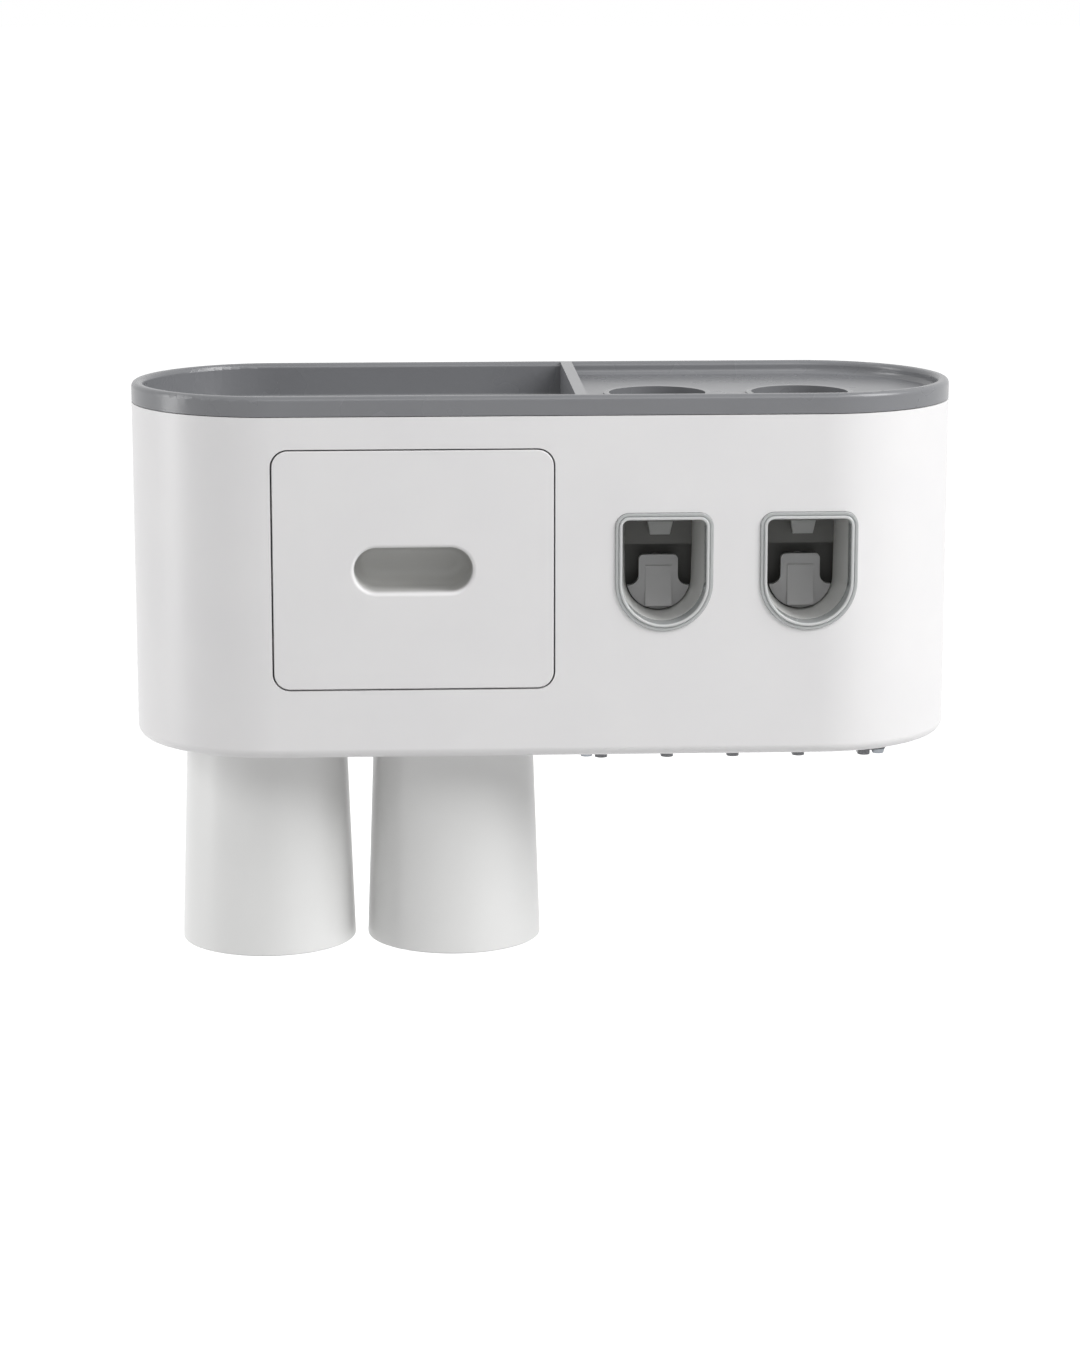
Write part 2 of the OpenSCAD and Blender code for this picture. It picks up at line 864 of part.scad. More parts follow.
module duct(i)
{
    collar_end = sleeve_len + 1;
    color(grey)
        at_window(i)
            difference()
            {
                union()
                {
                    intersection()
                    {
                        funnel(duct_t, duct_t);
                        translate([-window_w, collar_end, 0])
                            cube([2 * window_w, duct_depth - collar_end, shell_h]);
                    }
                    translate([0, 0, window_mid_z])
                        slab_xz(mouth_y, collar_end)
                            window_outline(mouth_r, duct_top + sleeve_t + clip_gap + duct_t, window_corner_r);
                }
                funnel(0, 0);
                translate([0, 0, window_mid_z])
                    slab_xz(mouth_y - eps, sleeve_len + clip_gap)
                        window_outline(sleeve_r + clip_gap, duct_top + sleeve_t + clip_gap,
                                       window_corner_r - bezel_w + sleeve_t + clip_gap);
                // room for the paste bridge
                translate([-bridge_w / 2 - clip_gap, bridge_y - clip_gap, nozzle_root_z - clip_gap])
                    cube([bridge_w + 2 * clip_gap, duct_depth, shell_h]);
            }
}

module pump_housing(i)
{
    color(dark)
        at_window(i)
            difference()
            {
                union()
                {
                    translate([-housing_w / 2, housing_y, shelf_top_z])
                        cube([housing_w, housing_len, housing_top_z - shelf_top_z]);
                    translate([-bridge_w / 2, bridge_y, nozzle_root_z])
                        cube([bridge_w, housing_y - bridge_y + 1, bridge_top_z - nozzle_root_z]);
                }
                // room for the lever to swing
                translate([-cavity_w / 2, housing_y - eps, cavity_floor_z])
                    cube([cavity_w, cavity_rear - housing_y + eps, cavity_top_z - cavity_floor_z]);
                translate([-housing_w, pivot_y, pivot_z])
                    rotate([0, 90, 0])
                        cylinder(r = pin_d / 2 + run_gap, h = 2 * housing_w);
                translate([0, 0, stem_z])
                {
                    rod_y(stem_r + run_gap, cavity_rear - eps, chamber_y + eps);
                    rod_y(chamber_r, chamber_y, housing_rear + eps);
                    for (side = [-1, 1])
                        translate([side * cap_screw_x, 0, 0])
                            rod_y(pilot_r, housing_rear - screw_len, housing_rear + eps);
                }
                for (side = [-1, 1])
                    translate([side * squeezer_screw_x, squeezer_screw_y, shelf_top_z - eps])
                        cylinder(r = pilot_r, h = screw_len + eps);
                // socket for the tube's sleeve, and the way down to the chamber
                translate([0, tube_depth, inlet_floor_z])
                    cylinder(r = inlet_r + clip_gap, h = shell_h);
                translate([inlet_x, inlet_port_y, inlet_way_z])
                    cylinder(r = outlet_r, h = inlet_floor_z - inlet_way_z + eps);
                translate([inlet_x, 0, inlet_way_z])
                    rod_y(outlet_r, inlet_port_y, port_y);
                translate([inlet_x, port_y, stem_z])
                    cylinder(r = outlet_r, h = inlet_way_z - stem_z);
                // way up from the chamber and forward to the nozzle
                translate([outlet_x, port_y, stem_z])
                    cylinder(r = outlet_r, h = outlet_z - stem_z);
                translate([outlet_x, 0, outlet_z])
                    rod_y(outlet_r, nozzle_depth, port_y);
                translate([-nozzle_block_w / 2 - clip_gap, nozzle_depth - nozzle_block_y / 2 - clip_gap,
                           nozzle_root_z - eps])
                    cube([nozzle_block_w + 2 * clip_gap, nozzle_block_y + 2 * clip_gap,
                          nozzle_block_h + plenum_h + eps]);
            }
}

module rear_cap(i)
{
    color(dark)
        at_window(i)
            translate([0, 0, stem_z])
                difference()
                {
                    union()
                    {
                        slab_xz(housing_rear, housing_rear + cap_t)
                            round_rect(housing_w, cap_h, 3);
                        rod_y(chamber_r - clip_gap, spring_end, housing_rear + cap_t / 2);
                    }
                    for (side = [-1, 1])
                        translate([side * cap_screw_x, 0, 0])
                            rod_y(pass_r, housing_rear - eps, housing_rear + cap_t + eps);
                    // vent for the air in the chamber
                    rod_y(1, spring_end - eps, housing_rear + cap_t + eps);
                }
}

module inlet_sleeve(i)
{
    color(silicone)
        at_window(i)
            translate([0, tube_depth, inlet_floor_z])
                difference()
                {
                    union()
                    {
                        cylinder(r = inlet_r, h = housing_top_z - inlet_floor_z);
                        translate([0, 0, housing_top_z - inlet_floor_z])
                            cylinder(r = inlet_flange_r, h = inlet_flange_t);
                    }
                    translate([0, 0, -eps])
                        cylinder(r = neck_r, h = shell_h);
                }
}

module nozzle(i)
{
    slit_w = 5;
    slit_t = 0.5;
    beak_t = 2.4;
    color(silicone)
        at_window(i)
            difference()
            {
                union()
                {
                    translate([-nozzle_block_w / 2, nozzle_depth - nozzle_block_y / 2, nozzle_root_z])
                        cube([nozzle_block_w, nozzle_block_y, nozzle_block_h]);
                    intersection()
                    {
                        slab_xz(0, 2 * nozzle_depth)
                            polygon([[-nozzle_w / 2, nozzle_root_z + 1], [nozzle_w / 2, nozzle_root_z + 1],
                                     [nozzle_tip_w / 2, nozzle_tip_height],
                                     [-nozzle_tip_w / 2, nozzle_tip_height]]);
                        bar_yz(2 * nozzle_block_w)
                            polygon([[nozzle_depth - nozzle_block_y / 2, nozzle_root_z + 1],
                                     [nozzle_depth + nozzle_block_y / 2, nozzle_root_z + 1],
                                     [nozzle_depth + beak_t / 2, nozzle_tip_height],
                                     [nozzle_depth - beak_t / 2, nozzle_tip_height]]);
                    }
                }
                translate([-slit_w / 2, nozzle_depth - slit_t / 2, nozzle_tip_height - eps])
                    cube([slit_w, slit_t, nozzle_root_z]);
            }
}

module lever_pin(i)
{
    color(steel)
        at_window(i)
            translate([-housing_w / 2, pivot_y, pivot_z])
                rotate([0, 90, 0])
                    cylinder(r = pin_d / 2, h = housing_w);
}

// Points round a helix that runs back along y
function coil_point(t, r, turns, y0, y1) =
    [r * cos(360 * turns * t), y0 + (y1 - y0) * t, r * sin(360 * turns * t)];

// Ring of the wire's section at parameter t, across the wire's direction
function coil_ring(t, r, wire_r, turns, y0, y1, sides) =
    let (c = coil_point(t, r, turns, y0, y1),
         a = 360 * turns * t,
         out = [cos(a), 0, sin(a)],
         pitch = (y1 - y0) / turns,
         run = [-2 * PI * r * sin(a), pitch, 2 * PI * r * cos(a)],
         along = run / norm(run),
         up = cross(along, out))
    [for (k = [0 : sides - 1]) c + wire_r * (cos(360 * k / sides) * out + sin(360 * k / sides) * up)];

module return_spring(i)
{
    sides = 6;
    rings = 8 * spring_turns;
    wire_r = spring_wire_d / 2;
    y0 = spring_start + wire_r + part_gap;
    y1 = spring_end - wire_r - part_gap;
    points = [for (j = [0 : rings]) each coil_ring(j / rings, spring_mean_r, wire_r, spring_turns, y0, y1, sides)];
    start_cap = [[for (k = [0 : sides - 1]) k]];
    end_cap = [[for (k = [sides - 1 : -1 : 0]) rings * sides + k]];
    skin = [for (j = [0 : rings - 1], k = [0 : sides - 1])
        let (a = j * sides + k, b = j * sides + (k + 1) % sides, c = b + sides, d = a + sides)
        each [[a, d, b], [b, d, c]]];
    least_gap = min([for (j = [0 : rings - 8])
        norm(coil_point((j + 8) / rings, spring_mean_r, spring_turns, y0, y1)
             - coil_point(j / rings, spring_mean_r, spring_turns, y0, y1))]) - spring_wire_d;
    echo(least_gap_between_the_springs_turns = least_gap);
    color(steel)
        at_window(i)
            translate([0, 0, stem_z])
                polyhedron(points, concat(start_cap, skin, end_cap));
}

// Outline of the lever's face: a neck that flares into a rounded paddle
module lever_outline()
{
    shoulder_rise = 13;
    shoulder_z = window_z + shoulder_rise;
    fillet_r = 4;
    neck_r2 = 2;
    difference()
    {
        translate([0, lever_mid_z])
            circle(lever_r);
        translate([-window_w, shoulder_z])
            square([2 * window_w, window_w]);
    }
    difference()
    {
        translate([-neck_w / 2 - fillet_r, shoulder_z - 1])
            square([neck_w + 2 * fillet_r, fillet_r + 1]);
        for (side = [-1, 1])
            translate([side * (neck_w / 2 + fillet_r), shoulder_z + fillet_r])
                circle(fillet_r);
    }
    translate([0, (lever_top_z + shoulder_z) / 2 - 1])
        round_rect(neck_w, lever_top_z - shoulder_z + 2, neck_r2);
}

module push_lever(i)
{
    pad_w = 10.4;
    pad_t_out = 0.6;
    pad_low = 11;
    pad_high = 21;
    pad_low_z = window_z + pad_low;
    pad_high_z = window_z + pad_high;
    toe_rise = 1.6;
    toe_out = 2.2;
    toe_z = lever_mid_z - lever_r + toe_rise;
    web_w = 11;
    web_h = 3.2;
    color(lever_grey)
        at_window(i)
            difference()
            {
                union()
                {
                    slab_xz(lever_depth, lever_depth + lever_t)
                        lever_outline();
                    // thumb pad, and below it a wedge that leans forward to the toe
                    bar_yz(pad_w)
                        polygon([[lever_depth + 1, pad_high_z], [lever_depth - pad_t_out, pad_high_z],
                                 [lever_depth - pad_t_out, pad_low_z], [lever_depth - toe_out, toe_z],
                                 [lever_depth + 1, toe_z]]);
                    translate([-barrel_w / 2, pivot_y, pivot_z])
                        rotate([0, 90, 0])
                            cylinder(r = barrel_r, h = barrel_w);
                    translate([-web_w / 2, lever_depth + lever_t / 2, pivot_z - web_h / 2])
                        cube([web_w, pivot_y - lever_depth - lever_t / 2, web_h]);
                }
                translate([-housing_w, pivot_y, pivot_z])
                    rotate([0, 90, 0])
                        cylinder(r = pin_d / 2 + run_gap, h = 2 * housing_w);
            }
}

module plunger(i)
{
    color(white)
        at_window(i)
            translate([0, 0, stem_z])
                difference()
                {
                    union()
                    {
                        translate([0, nose_y, 0])
                            sphere(stem_r);
                        rod_y(stem_r, nose_y, piston_y + 1);
                        rod_y(piston_r, piston_y, piston_y + piston_t);
                    }
                    // groove for the seal
                    translate([0, piston_y + (piston_t - seal_t) / 2, 0])
                        rotate([-90, 0, 0])
                            difference()
                            {
                                cylinder(r = piston_r + 1, h = seal_t);
                                translate([0, 0, -eps])
                                    cylinder(r = piston_r - seal_groove, h = seal_t + 2 * eps);
                            }
                }
}

module plunger_seal(i)
{
    color(rubber)
        at_window(i)
            translate([0, piston_y + (piston_t - seal_t) / 2, stem_z])
                rotate([-90, 0, 0])
                    difference()
                    {
                        cylinder(r = chamber_r - run_gap, h = seal_t);
                        translate([0, 0, -eps])
                            cylinder(r = piston_r - seal_groove, h = seal_t + 2 * eps);
                    }
}

// Half section of the cut that hollows the tray, rounded at the floor and flaring at the top
// into the rounded rim
module rim_cut(depth)
{
    square([tray_inner_r - tray_fillet, depth + eps]);
    translate([0, tray_fillet])
        square([tray_inner_r, depth - tray_fillet + eps]);
    translate([tray_inner_r - tray_fillet, tray_fillet])
        circle(tray_fillet);
    translate([0, depth - rim_edge_r])
        difference()
        {
            square([tray_inner_r + rim_edge_r, rim_edge_r + eps]);
            translate([tray_inner_r + rim_edge_r, 0])
                circle(rim_edge_r);
            translate([tray_inner_r, -eps])
                square([rim_edge_r * 2, eps]);
        }
}

module hollow(floor_z, x0, x1)
{
    intersection()
    {
        translate([0, -end_r, floor_z])
            round_stadium()
                rim_cut(total_h - floor_z);
        translate([x0, front_y - eps, floor_z - eps])
            cube([x1 - x0, body_depth + 2 * eps, total_h]);
    }
}

// Round posts on the tubes' axes
module collars(r, h)
{
    for (x = window_x)
        translate([x, tube_y, 0])
            cylinder(r = r, h = h);
}

module top_tray()
{
    color(grey)
        on_body()
            difference()
            {
                union()
                {
                    body_block(end_r, tray_z, total_h, 0, rim_edge_r);
                    body_block(skirt_r, skirt_z, tray_z + 1);
                }
                hollow(left_floor_z, -body_len, divider_x);
                difference()
                {
                    hollow(right_floor_z, divider_x + divider_t, body_len);
                    collars(collar_r + collar_ring_w, right_floor_z + collar_h);
                }
                // the right side is open below its floor, inside the skirt
                difference()
                {
                    intersection()
                    {
                        body_block(skirt_r - tray_t, skirt_z - eps, right_floor_z - tray_t);
                        translate([divider_x + divider_t - tray_t, front_y, 0])
                            cube([body_len, body_depth, total_h]);
                    }
                    translate([0, 0, right_floor_z - tray_t - collar_drop])
                        collars(collar_r + collar_ring_w, shell_h);
                }
                collars(collar_r, total_h + eps);
            }
}

// Round-ended outline of the finger slot, grown by some wall
module pull_outline(wall)
{
    square([pull_w - pull_h, pull_h + 2 * wall], center = true);
    for (side = [-1, 1])
        translate([side * (pull_w - pull_h) / 2, 0])
            circle(pull_h / 2 + wall);
}

module drawer_front()
{
    color(white)
        on_body()
            translate([drawer_x, 0, drawer_mid_z])
                difference()
                {
                    union()
                    {
                        slab_xz(front_y, front_y + drawer_front_t)
                            round_rect(drawer_w, drawer_h, drawer_corner_r);
                        slab_xz(front_y + drawer_front_t / 2, front_y + pull_depth + pull_wall)
                            pull_outline(pull_wall);
                    }
                    slab_xz(front_y - eps, front_y + pull_depth)
                        pull_outline(0);
                }
}

module drawer_bin()
{
    color(white)
        on_body()
            difference()
            {
                union()
                {
                    translate([drawer_x - bin_w / 2, bin_y, bin_z])
                        cube([bin_w, bin_depth, bin_h]);
                    // foot that meets the frame's ridge when the drawer is open
                    translate([drawer_x - stop_w / 2, bin_y + bin_depth - stop_t, bin_z - rail_h])
                        cube([stop_w, stop_t, rail_h + bin_t / 2]);
                }
                translate([drawer_x - bin_w / 2 + bin_t, bin_y - eps, bin_z + bin_t])
                    cube([bin_w - 2 * bin_t, bin_depth - bin_t + eps, bin_h]);
            }
}

module cup(i)
{
    slope = (cup_mouth_d - cup_base_d) / 2 / cup_h;
    color(white)
        on_body()
            translate([cup_x[i], -end_r, -part_gap])
                mirror([0, 0, 1])
                    difference()
                    {
                        rotate_extrude()
                        {
                            polygon([[0, 0], [cup_base_d / 2 - cup_edge_r, 0],
                                     [cup_base_d / 2 - cup_edge_r, cup_edge_r],
                                     [cup_base_d / 2 + slope * cup_edge_r, cup_edge_r],
                                     [cup_mouth_d / 2, cup_h], [0, cup_h]]);
                            intersection()
                            {
                                translate([cup_base_d / 2 - cup_edge_r, cup_edge_r])
                                    circle(cup_edge_r);
                                translate([cup_base_d / 2 - cup_edge_r, 0])
                                    square([cup_edge_r + slope * cup_edge_r, cup_edge_r + 0.01]);
                            }
                        }
                        translate([0, 0, cup_base_t])
                            cylinder(r1 = cup_base_d / 2 - cup_t + slope * cup_base_t,
                                     r2 = cup_mouth_d / 2 - cup_t + slope * eps,
                                     h = cup_h - cup_base_t + eps);
                        translate([0, 0, cup_base_t - magnet_t])
                            cylinder(r = magnet_r + clip_gap, h = magnet_t + eps);
                    }
}

module cup_magnet(i)
{
    color(steel)
        on_body()
            translate([cup_x[i], -end_r, -part_gap - cup_base_t])
                cylinder(r = magnet_r, h = magnet_t);
}

module cup_magnet_cap(i)
{
    color(white)
        on_body()
            translate([cup_x[i], -end_r, -part_gap - cup_base_t - magnet_cap_t])
                cylinder(r = magnet_cap_r, h = magnet_cap_t);
}

wall_plate();
adhesive_pad();
outer_shell();
wall_bumpers();
base_magnets();
base_magnet_covers();
toothbrush_rack();
rack_screws();
drawer_frame();
frame_screws();
bay_shelf();
shelf_screws();
squeezer_screws();
cap_screws();
bezel(0);  // bezel_left
bezel(1);  // bezel_right
duct(0);  // duct_left
duct(1);  // duct_right
pump_housing(0);  // pump_housing_left
pump_housing(1);  // pump_housing_right
rear_cap(0);  // rear_cap_left
rear_cap(1);  // rear_cap_right
inlet_sleeve(0);  // inlet_sleeve_left
inlet_sleeve(1);  // inlet_sleeve_right
nozzle(0);  // nozzle_left
nozzle(1);  // nozzle_right
lever_pin(0);  // lever_pin_left
lever_pin(1);  // lever_pin_right
return_spring(0);  // return_spring_left
return_spring(1);  // return_spring_right
push_lever(0);  // push_lever_left
push_lever(1);  // push_lever_right
plunger(0);  // plunger_left
plunger(1);  // plunger_right
plunger_seal(0);  // plunger_seal_left
plunger_seal(1);  // plunger_seal_right
top_tray();
drawer_front();
drawer_bin();
cup(0);  // cup_left
cup(1);  // cup_right
cup_magnet(0);  // cup_magnet_left
cup_magnet(1);  // cup_magnet_right
cup_magnet_cap(0);  // cup_magnet_cap_left
cup_magnet_cap(1);  // cup_magnet_cap_right
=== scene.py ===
# Wall-hung bathroom organiser: two push-lever dispensers, a drawer, a tray, a brush rack and two cups
import json
import math

import bpy
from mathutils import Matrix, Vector


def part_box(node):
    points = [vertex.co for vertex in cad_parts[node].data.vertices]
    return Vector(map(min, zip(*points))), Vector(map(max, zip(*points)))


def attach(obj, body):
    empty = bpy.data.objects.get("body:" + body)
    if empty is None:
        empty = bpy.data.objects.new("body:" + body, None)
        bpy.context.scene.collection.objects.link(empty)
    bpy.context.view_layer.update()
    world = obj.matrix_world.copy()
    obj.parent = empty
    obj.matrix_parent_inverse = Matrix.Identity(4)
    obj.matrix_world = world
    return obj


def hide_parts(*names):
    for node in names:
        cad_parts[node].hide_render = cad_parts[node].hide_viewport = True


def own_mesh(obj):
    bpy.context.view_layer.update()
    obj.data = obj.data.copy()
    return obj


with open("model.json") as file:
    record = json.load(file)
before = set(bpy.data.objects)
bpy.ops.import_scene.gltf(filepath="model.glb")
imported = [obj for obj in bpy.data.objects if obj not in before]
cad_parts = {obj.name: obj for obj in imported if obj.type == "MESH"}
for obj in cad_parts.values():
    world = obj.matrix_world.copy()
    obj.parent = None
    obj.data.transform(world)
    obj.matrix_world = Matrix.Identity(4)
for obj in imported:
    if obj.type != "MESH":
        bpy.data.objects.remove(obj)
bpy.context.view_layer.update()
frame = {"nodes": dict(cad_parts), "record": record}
mm = 0.001
sides = ("left", "right")
print("frame loaded:", len(frame["nodes"]), "nodes")

# Materials

# name, colours and wear of each finish; lengths in mm are the real size of the pattern
plastics = {
    # glossy-satin moulded ABS: soft wide highlights, a barely visible spark-eroded skin
    "white_abs": {"name": "whiteMouldedABS", "colour": "#edecec", "shade": "#e6e5e6", "cloud": 38,
                  "roughness": (0.33, 0.42), "grain": 0.45, "depth": 0.006},
    # the same resin coloured grey, a little glossier on the rounded rims
    "grey_abs": {"name": "greyMouldedABS", "colour": "#7d7e81", "shade": "#77787b", "cloud": 30,
                 "roughness": (0.24, 0.32), "grain": 0.40, "depth": 0.008},
    # polypropylene cups: waxy, milky white with broad sheen
    "cup_pp": {"name": "milkyPolypropylene", "colour": "#eeeeed", "shade": "#e8e8e7", "cloud": 45,
               "roughness": (0.30, 0.38), "grain": 0.60, "depth": 0.004},
    # smooth grey ABS passage behind the windows
    "duct_abs": {"name": "smoothGreyABS", "colour": "#dcdcda", "shade": "#d4d4d2", "cloud": 14,
                 "roughness": (0.36, 0.46), "grain": 0.35, "depth": 0.004},
    # lighter grey of the paddle that the brush presses
    "lever_abs": {"name": "pressedGreyABS", "colour": "#b0b0b0", "shade": "#a6a6a7", "cloud": 10,
                  "roughness": (0.28, 0.36), "grain": 0.35, "depth": 0.006},
    # dark ABS of the pump block, seen only deep in the windows
    "dark_abs": {"name": "darkPumpABS", "colour": "#5c5c59", "shade": "#535350", "cloud": 12,
                 "roughness": (0.38, 0.50), "grain": 0.50, "depth": 0.010},
    # silicone rubber: soft, slightly dusty look
    "silicone": {"name": "greySilicone", "colour": "#a9aaa9", "shade": "#9fa09f", "cloud": 9,
                 "roughness": (0.45, 0.55), "grain": 0.30, "depth": 0.006},
    # moulded rubber of the bumpers and seals: dull, with a fine matt grain
    "rubber": {"name": "mouldedRubber", "colour": "#595a5e", "shade": "#515256", "cloud": 8,
               "roughness": (0.62, 0.75), "grain": 0.50, "depth": 0.020},
}
metals = {
    # nickel-plated neodymium: bright, lightly tumbled
    "magnet": {"name": "nickelPlate", "colour": "#bcb9b3", "roughness": (0.22, 0.34),
               "grain": 0.5},
    # zinc-plated screws: bluish grey with a soft bloom, darker than plain zinc. The tone was set
    # so that the two rack screws that peep out beside the ribs stand out less
    "screw_steel": {"name": "zincPlatedSteel", "colour": "#8f9398", "roughness": (0.42, 0.58),
                    "grain": 0.8},
    # drawn spring wire: darker, with lines along the wire too fine to show
    "spring_steel": {"name": "drawnSpringWire", "colour": "#9fa2a5", "roughness": (0.28, 0.40),
                     "grain": 0.3},
}


def toLinear(hexColour):
    # sRGB hex to the linear colour that shaders take
    values = [int(hexColour[i:i + 2], 16) / 255 for i in (1, 3, 5)]
    linear = [v / 12.92 if v <= 0.04045 else ((v + 0.055) / 1.055) ** 2.4 for v in values]
    return (*linear, 1.0)


def addNode(tree, kind, settings=None, links=None):
    # settings go to a socket where the node has one of that name or number, and otherwise to the node
    node = tree.nodes.new(kind)
    for key, value in (settings or {}).items():
        if isinstance(key, int) or key in node.inputs:
            node.inputs[key].default_value = value
        else:
            setattr(node, key, value)
    for key, source in (links or {}).items():
        tree.links.new(source, node.inputs[key])
    return node


def newMaterial(name):
    material = bpy.data.materials.new(name)
    material.use_nodes = True
    material.node_tree.nodes.clear()
    return material, material.node_tree


def mouldedPlastic(finish, deep=None):
    # deep: start and end of a painted shade that greys the tone with depth behind the face, in metres, and
    # the shaded tone it ends in
    material, tree = newMaterial(finish["name"])
    place = addNode(tree, "ShaderNodeTexCoord").outputs["Object"]
    cloud = addNode(tree, "ShaderNodeTexNoise", {"Scale": 1 / (finish["cloud"] * mm), "Detail": 3.0},
                    {"Vector": place})
    tone = addNode(tree, "ShaderNodeMix", {"data_type": "RGBA", 6: toLinear(finish["shade"]),
                                           7: toLinear(finish["colour"])}, {0: cloud.outputs["Fac"]})
    if deep:
        # painted shade: the colour greys towards the given tone with depth behind the face
        apart = addNode(tree, "ShaderNodeSeparateXYZ", None, {"Vector": place})
        share = addNode(tree, "ShaderNodeMapRange", {"From Min": deep[0], "From Max": deep[1]},
                        {"Value": apart.outputs["Y"]})
        tone = addNode(tree, "ShaderNodeMix", {"data_type": "RGBA", 7: toLinear(deep[2])},
                       {0: share.outputs["Result"], 6: tone.outputs[2]})
    # drawn about three times coarser than a real eroded skin, which would not show
    skin = addNode(tree, "ShaderNodeTexNoise", {"Scale": 1 / (finish["grain"] * mm), "Detail": 2.0},
                   {"Vector": place})
    gloss = addNode(tree, "ShaderNodeMapRange", {"To Min": finish["roughness"][0],
                                                 "To Max": finish["roughness"][1]},
                    {"Value": cloud.outputs["Fac"]})
    bump = addNode(tree, "ShaderNodeBump", {"Strength": 0.35, "Distance": finish["depth"] * mm},
                   {"Height": skin.outputs["Fac"]})
    shader = addNode(tree, "ShaderNodeBsdfPrincipled", {"IOR": 1.52},
                     {"Base Color": tone.outputs[2], "Roughness": gloss.outputs["Result"],
                      "Normal": bump.outputs["Normal"]})
    addNode(tree, "ShaderNodeOutputMaterial", None, {"Surface": shader.outputs["BSDF"]})
    return material


def platedMetal(finish):
    material, tree = newMaterial(finish["name"])
    place = addNode(tree, "ShaderNodeTexCoord").outputs["Object"]
    bloom = addNode(tree, "ShaderNodeTexNoise", {"Scale": 1 / (finish["grain"] * mm), "Detail": 4.0},
                    {"Vector": place})
    gloss = addNode(tree, "ShaderNodeMapRange", {"To Min": finish["roughness"][0],
                                                 "To Max": finish["roughness"][1]},
                    {"Value": bloom.outputs["Fac"]})
    shader = addNode(tree, "ShaderNodeBsdfPrincipled",
                     {"Base Color": toLinear(finish["colour"]), "Metallic": 1.0},
                     {"Roughness": gloss.outputs["Result"]})
    addNode(tree, "ShaderNodeOutputMaterial", None, {"Surface": shader.outputs["BSDF"]})
    return material


def clearPolycarbonate():
    # polished clear ring. How much of it lets light through was set against the photograph,
    # and is less than in real polycarbonate
    material, tree = newMaterial("clearPolycarbonate")
    place = addNode(tree, "ShaderNodeTexCoord").outputs["Object"]
    ripple = addNode(tree, "ShaderNodeTexNoise", {"Scale": 1 / (6 * mm), "Detail": 1.0}, {"Vector": place})
    gloss = addNode(tree, "ShaderNodeMapRange", {"To Min": 0.03, "To Max": 0.08},
                    {"Value": ripple.outputs["Fac"]})
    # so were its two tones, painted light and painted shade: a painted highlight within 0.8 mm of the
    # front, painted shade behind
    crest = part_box("bezel_left")[0].y
    depth = addNode(tree, "ShaderNodeSeparateXYZ", None, {"Vector": place})
    share = addNode(tree, "ShaderNodeMapRange", {"From Min": crest, "From Max": crest + 0.8 * mm},
                    {"Value": depth.outputs["Y"]})
    tone = addNode(tree, "ShaderNodeMix", {"data_type": "RGBA", 6: toLinear("#fbfcfc"),
                                           7: toLinear("#cdd0d0")}, {0: share.outputs["Result"]})
    shader = addNode(tree, "ShaderNodeBsdfPrincipled", {"Transmission Weight": 0.42, "IOR": 1.58},
                     {"Base Color": tone.outputs[2], "Roughness": gloss.outputs["Result"]})
    addNode(tree, "ShaderNodeOutputMaterial", None, {"Surface": shader.outputs["BSDF"]})
    return material


def foamTape():
    # closed-cell acrylic foam: off-white, dull, with pin-prick cells about 0.7 mm apart
    material, tree = newMaterial("acrylicFoamTape")
    place = addNode(tree, "ShaderNodeTexCoord").outputs["Object"]
    cells = addNode(tree, "ShaderNodeTexVoronoi", {"Scale": 1 / (0.7 * mm)}, {"Vector": place})
    tone = addNode(tree, "ShaderNodeMix", {"data_type": "RGBA", 6: toLinear("#c6c6c0"),
                                           7: toLinear("#dcdcd6")}, {0: cells.outputs["Distance"]})
    bump = addNode(tree, "ShaderNodeBump", {"Strength": 0.6, "Distance": 0.08 * mm},
                   {"Height": cells.outputs["Distance"]})
    shader = addNode(tree, "ShaderNodeBsdfPrincipled", {"Roughness": 0.85},
                     {"Base Color": tone.outputs[2], "Normal": bump.outputs["Normal"]})
    addNode(tree, "ShaderNodeOutputMaterial", None, {"Surface": shader.outputs["BSDF"]})
    return material


materials = {slot: mouldedPlastic(finish) for slot, finish in plastics.items()}
materials.update({slot: platedMetal(finish) for slot, finish in metals.items()})
materials["clear_bezel"] = clearPolycarbonate()
materials["foam_pad"] = foamTape()
print("materials made:", len(materials))

# Slots of the CAD nodes, as the record gives them

slotOf = {part["node"]: part["material_slot"] for part in frame["record"]["subparts"]}
bodyOf = {name: body for body, names in frame["record"]["behaviour"]["bodies"].items() for name in names}
for nodeName, node in frame["nodes"].items():
    node.data.materials.clear()
    node.data.materials.append(materials[slotOf[nodeName]])

# Modelling helpers

sharpAngle = 32  # edges sharper than this many degrees are rounded
touch = 0.01 * mm  # how near a point has to be to count as on a face

def editMode(piece, selectMode="VERT"):
    bpy.ops.object.select_all(action="DESELECT")
    bpy.context.view_layer.objects.active = piece
    piece.select_set(True)
    bpy.ops.object.mode_set(mode="EDIT")
    bpy.ops.mesh.select_mode(type=selectMode)
    bpy.ops.mesh.select_all(action="DESELECT")


def objectMode():
    bpy.ops.object.mode_set(mode="OBJECT")


def pickVertices(piece, test):
    editMode(piece, "VERT")
    objectMode()
    for vertex in piece.data.vertices:
        vertex.select = bool(test(vertex.co))
    bpy.ops.object.mode_set(mode="EDIT")


def pickEdges(piece, test):
    # an edge counts when both its ends pass the test
    editMode(piece, "EDGE")
    objectMode()
    spots = piece.data.vertices
    for edge in piece.data.edges:
        edge.select = all(test(spots[i].co) for i in edge.vertices)
    bpy.ops.object.mode_set(mode="EDIT")


def pickFaces(piece, test):
    editMode(piece, "FACE")
    objectMode()
    for face in piece.data.polygons:
        face.select = bool(test(face.center, face.normal))
    bpy.ops.object.mode_set(mode="EDIT")


